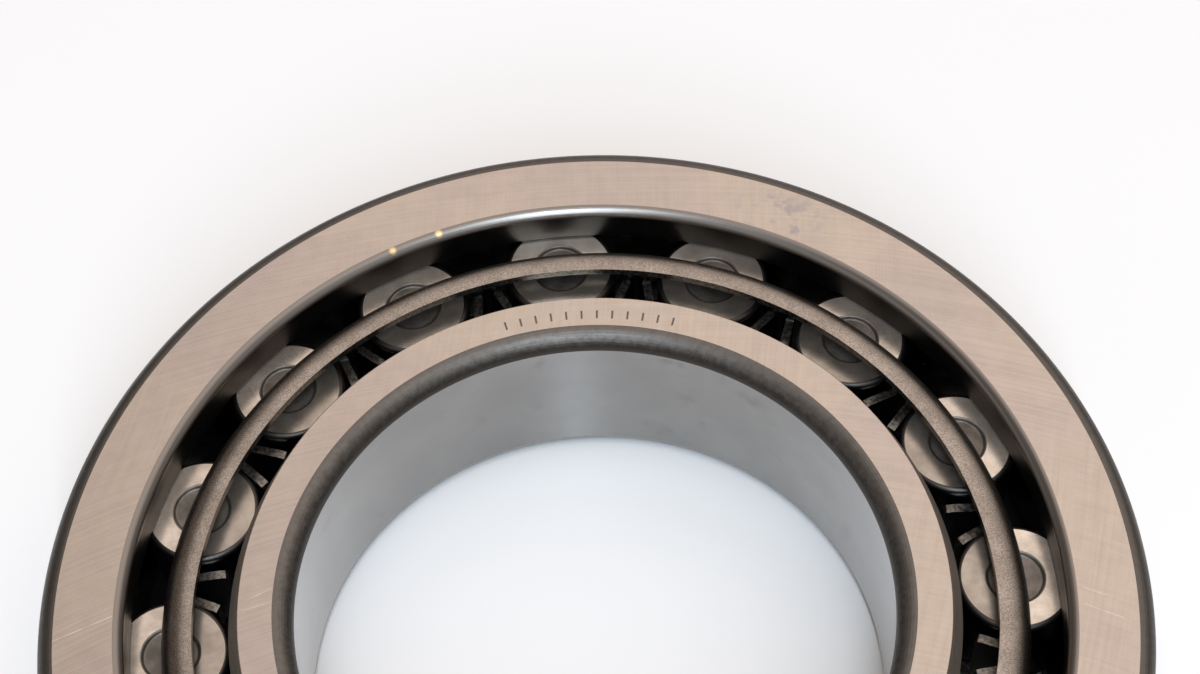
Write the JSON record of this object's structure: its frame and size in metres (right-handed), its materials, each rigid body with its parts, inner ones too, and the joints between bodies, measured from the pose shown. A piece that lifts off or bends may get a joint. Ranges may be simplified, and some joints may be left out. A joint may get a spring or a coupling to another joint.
{
  "type": "cylindrical roller bearing",
  "caption": "Open cylindrical roller bearing: flanged outer ring, plain inner ring, steel rollers and a one-piece pressed sheet-steel cage.",
  "frame": {"origin": "centre of the bearing, on its axis of rotation and halfway between its two side faces", "axes": "+Z along the axis of rotation, +X towards the first roller within 2.2 degrees; both side faces are alike"},
  "size_m": [0.12, 0.12, 0.023],
  "materials": {
    "ring_steel": "fine ground bearing steel, slightly warm grey, honed bore and raceways",
    "roller_steel": "ground bearing steel, rounded corners, duller recess in each end",
    "cage_steel": "pressed sheet steel, matt and faintly grainy from tumbling"
  },
  "bodies": {
    "outer_ring": {"outer_ring": "ring_steel"},
    "inner_ring": {"inner_ring": "ring_steel"},
    "cage": {"cage": "cage_steel"},
    "roller_01": {"roller_01": "roller_steel"},
    "roller_02": {"roller_02": "roller_steel"},
    "roller_03": {"roller_03": "roller_steel"},
    "roller_04": {"roller_04": "roller_steel"},
    "roller_05": {"roller_05": "roller_steel"},
    "roller_06": {"roller_06": "roller_steel"},
    "roller_07": {"roller_07": "roller_steel"},
    "roller_08": {"roller_08": "roller_steel"},
    "roller_09": {"roller_09": "roller_steel"},
    "roller_10": {"roller_10": "roller_steel"},
    "roller_11": {"roller_11": "roller_steel"},
    "roller_12": {"roller_12": "roller_steel"},
    "roller_13": {"roller_13": "roller_steel"},
    "roller_14": {"roller_14": "roller_steel"},
    "roller_15": {"roller_15": "roller_steel"},
    "roller_16": {"roller_16": "roller_steel"}
  },
  "joints": [
    {"name": "inner_ring_spin", "type": "hinge", "parent": "outer_ring", "child": "inner_ring", "pos_m": [0, 0, 0], "axis": [0, 0, 1], "continuous": true},
    {"name": "cage_spin", "type": "hinge", "parent": "outer_ring", "child": "cage", "pos_m": [0, 0, 0], "axis": [0, 0, 1], "continuous": true},
    {"name": "roller_01_spin", "type": "hinge", "parent": "cage", "child": "roller_01", "pos_m": [0.04622, 0.00178, 0], "axis": [0, 0, 1], "continuous": true},
    {"name": "roller_02_spin", "type": "hinge", "parent": "cage", "child": "roller_02", "pos_m": [0.04202, 0.01933, 0], "axis": [0, 0, 1], "continuous": true},
    {"name": "roller_03_spin", "type": "hinge", "parent": "cage", "child": "roller_03", "pos_m": [0.03142, 0.03393, 0], "axis": [0, 0, 1], "continuous": true},
    {"name": "roller_04_spin", "type": "hinge", "parent": "cage", "child": "roller_04", "pos_m": [0.01605, 0.04338, 0], "axis": [0, 0, 1], "continuous": true},
    {"name": "roller_05_spin", "type": "hinge", "parent": "cage", "child": "roller_05", "pos_m": [-0.00178, 0.04622, 0], "axis": [0, 0, 1], "continuous": true},
    {"name": "roller_06_spin", "type": "hinge", "parent": "cage", "child": "roller_06", "pos_m": [-0.01933, 0.04202, 0], "axis": [0, 0, 1], "continuous": true},
    {"name": "roller_07_spin", "type": "hinge", "parent": "cage", "child": "roller_07", "pos_m": [-0.03393, 0.03142, 0], "axis": [0, 0, 1], "continuous": true},
    {"name": "roller_08_spin", "type": "hinge", "parent": "cage", "child": "roller_08", "pos_m": [-0.04338, 0.01605, 0], "axis": [0, 0, 1], "continuous": true},
    {"name": "roller_09_spin", "type": "hinge", "parent": "cage", "child": "roller_09", "pos_m": [-0.04622, -0.00178, 0], "axis": [0, 0, 1], "continuous": true},
    {"name": "roller_10_spin", "type": "hinge", "parent": "cage", "child": "roller_10", "pos_m": [-0.04202, -0.01933, 0], "axis": [0, 0, 1], "continuous": true},
    {"name": "roller_11_spin", "type": "hinge", "parent": "cage", "child": "roller_11", "pos_m": [-0.03142, -0.03393, 0], "axis": [0, 0, 1], "continuous": true},
    {"name": "roller_12_spin", "type": "hinge", "parent": "cage", "child": "roller_12", "pos_m": [-0.01605, -0.04338, 0], "axis": [0, 0, 1], "continuous": true},
    {"name": "roller_13_spin", "type": "hinge", "parent": "cage", "child": "roller_13", "pos_m": [0.00178, -0.04622, 0], "axis": [0, 0, 1], "continuous": true},
    {"name": "roller_14_spin", "type": "hinge", "parent": "cage", "child": "roller_14", "pos_m": [0.01933, -0.04202, 0], "axis": [0, 0, 1], "continuous": true},
    {"name": "roller_15_spin", "type": "hinge", "parent": "cage", "child": "roller_15", "pos_m": [0.03393, -0.03142, 0], "axis": [0, 0, 1], "continuous": true},
    {"name": "roller_16_spin", "type": "hinge", "parent": "cage", "child": "roller_16", "pos_m": [0.04338, -0.01605, 0], "axis": [0, 0, 1], "continuous": true}
  ],
  "couplings": [
    {"joint": "cage_spin", "follows": "inner_ring_spin", "ratio": 0.42973},
    {"joint": "roller_01_spin", "follows": "inner_ring_spin", "ratio": -3.4874},
    {"joint": "roller_02_spin", "follows": "inner_ring_spin", "ratio": -3.4874},
    {"joint": "roller_03_spin", "follows": "inner_ring_spin", "ratio": -3.4874},
    {"joint": "roller_04_spin", "follows": "inner_ring_spin", "ratio": -3.4874},
    {"joint": "roller_05_spin", "follows": "inner_ring_spin", "ratio": -3.4874},
    {"joint": "roller_06_spin", "follows": "inner_ring_spin", "ratio": -3.4874},
    {"joint": "roller_07_spin", "follows": "inner_ring_spin", "ratio": -3.4874},
    {"joint": "roller_08_spin", "follows": "inner_ring_spin", "ratio": -3.4874},
    {"joint": "roller_09_spin", "follows": "inner_ring_spin", "ratio": -3.4874},
    {"joint": "roller_10_spin", "follows": "inner_ring_spin", "ratio": -3.4874},
    {"joint": "roller_11_spin", "follows": "inner_ring_spin", "ratio": -3.4874},
    {"joint": "roller_12_spin", "follows": "inner_ring_spin", "ratio": -3.4874},
    {"joint": "roller_13_spin", "follows": "inner_ring_spin", "ratio": -3.4874},
    {"joint": "roller_14_spin", "follows": "inner_ring_spin", "ratio": -3.4874},
    {"joint": "roller_15_spin", "follows": "inner_ring_spin", "ratio": -3.4874},
    {"joint": "roller_16_spin", "follows": "inner_ring_spin", "ratio": -3.4874}
  ]
}
